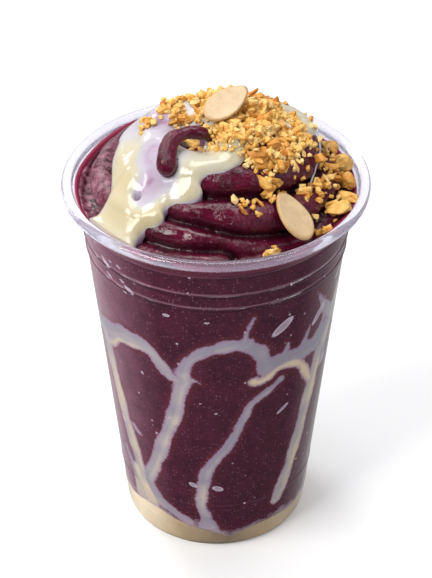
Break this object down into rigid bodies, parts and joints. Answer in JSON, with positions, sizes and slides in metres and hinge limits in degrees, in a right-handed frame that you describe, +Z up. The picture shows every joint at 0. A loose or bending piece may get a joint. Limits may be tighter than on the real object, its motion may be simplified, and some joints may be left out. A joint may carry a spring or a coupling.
{
  "type": "acai sorbet in a clear cup",
  "caption": "Tall clear plastic cup filled with piped acai sorbet, condensed milk run down the wall and over the top, crushed nuts and almond flakes.",
  "frame": {"origin": "middle of the cup's foot, on the surface it stands on", "axes": "+Z up along the cup's axis; -Y towards the viewer of the picture; +X to the right of it"},
  "size_m": [0.0976, 0.0976, 0.1659],
  "materials": {
    "clear_plastic": "clear smooth thin plastic",
    "acai": "wet dark purple sorbet with fine frosty sparkle",
    "milk": "glossy cream condensed milk",
    "nut": "roasted chopped nut",
    "almond": "raw almond flake"
  },
  "bodies": {
    "root": {"cup": "clear_plastic", "acai": "acai", "milk_pool": "milk", "milk_on_top": "milk", "milk_at_back": "milk", "nut_heap": "nut", "nut_1": "nut", "nut_2": "nut", "nut_3": "nut", "nut_4": "nut", "nut_5": "nut", "nut_6": "nut", "almond_side": "almond", "almond_top": "almond"}
  },
  "joints": []
}
